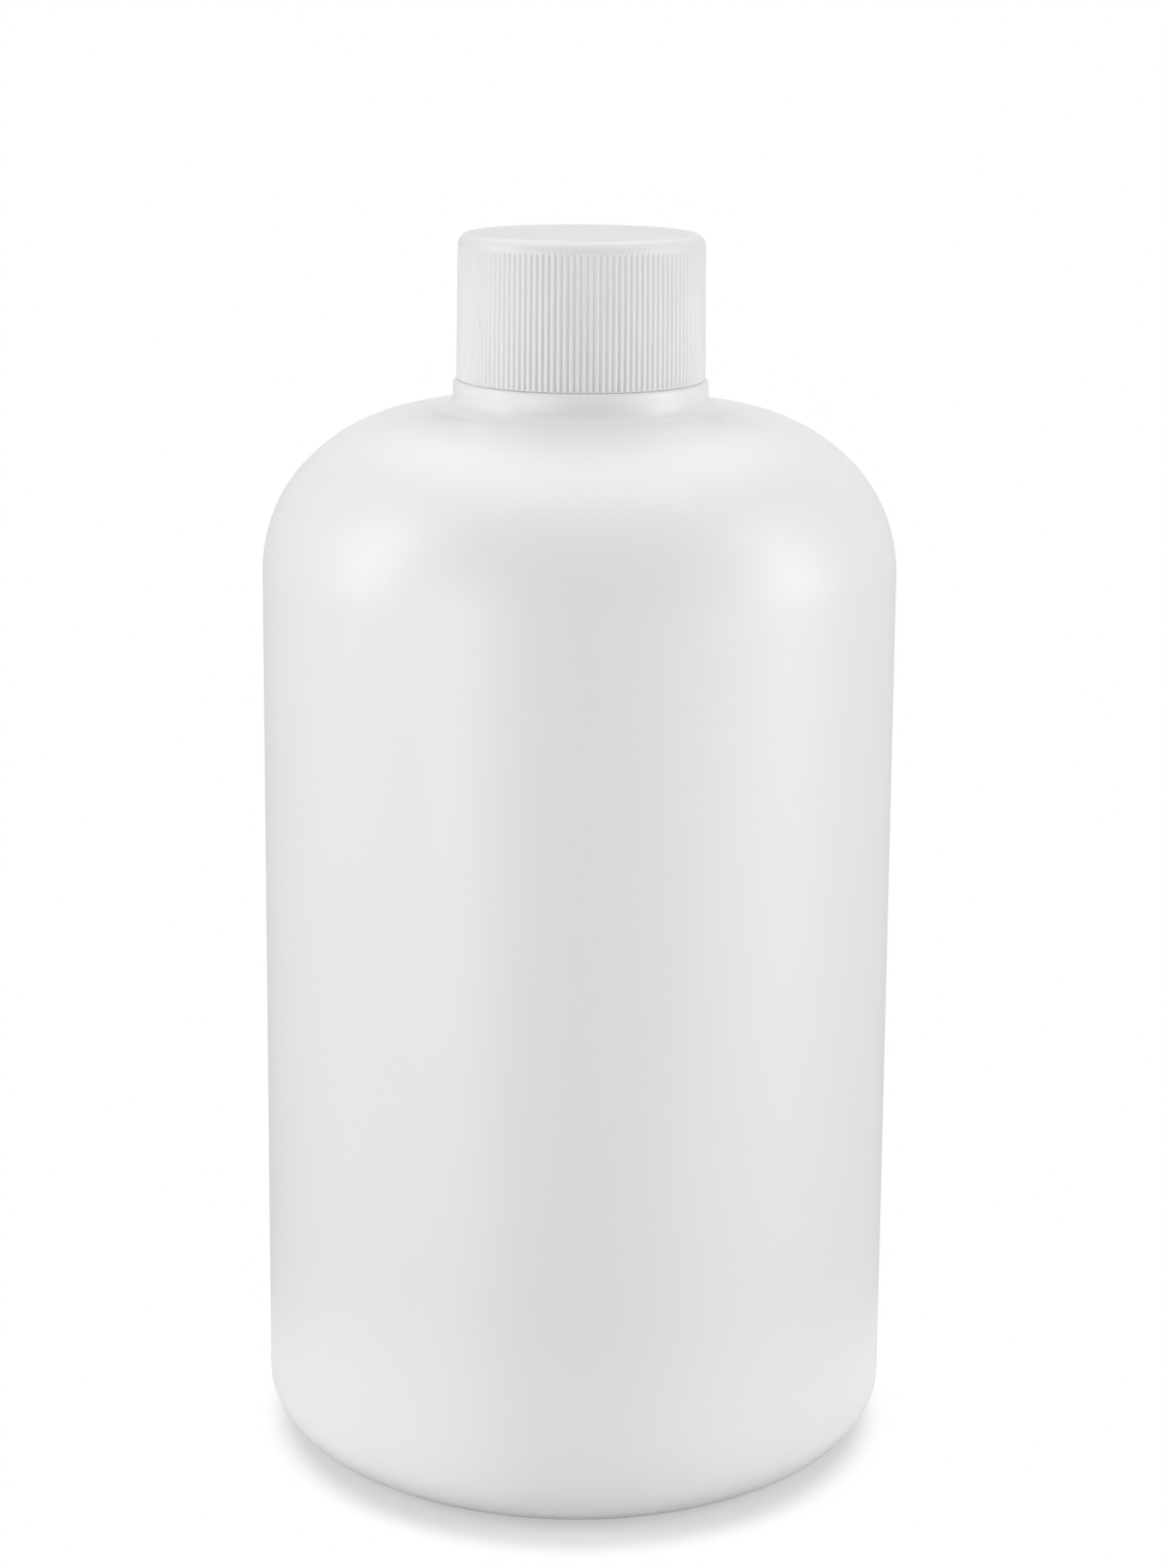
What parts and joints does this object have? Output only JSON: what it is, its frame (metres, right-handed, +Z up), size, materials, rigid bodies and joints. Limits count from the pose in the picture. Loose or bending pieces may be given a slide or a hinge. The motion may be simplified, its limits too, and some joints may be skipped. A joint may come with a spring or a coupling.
{
  "type": "reagent bottle",
  "caption": "Round narrow-mouth plastic laboratory bottle with a domed shoulder, a collared screw neck and a fine-ribbed screw cap with a foam liner.",
  "frame": {"origin": "centre of the base, on the plane that the bottle stands on", "axes": "+Z up along the bottle's axis; the bottle is round, and -Y is the side that faces the viewer"},
  "size_m": [0.078, 0.078, 0.1488],
  "materials": {
    "natural_polyethylene": "satin",
    "white_polypropylene": "satin",
    "polyethylene_foam": "matt"
  },
  "bodies": {
    "bottle": {"bottle": "natural_polyethylene"},
    "liner": {"cap_liner": "polyethylene_foam"},
    "cap": {"screw_cap": "white_polypropylene"}
  },
  "joints": [
    {"name": "cap_rise", "type": "slide", "parent": "bottle", "child": "liner", "axis": [0, 0, 1], "range_m": [0, 0.0255]},
    {"name": "cap_turn", "type": "hinge", "parent": "liner", "child": "cap", "pos_m": [0, 0, 0.14], "axis": [0, 0, 1], "range_deg": [0, 2160]}
  ],
  "couplings": [
    {"joint": "cap_rise", "follows": "cap_turn", "m_per_rad": 0.0006737}
  ]
}
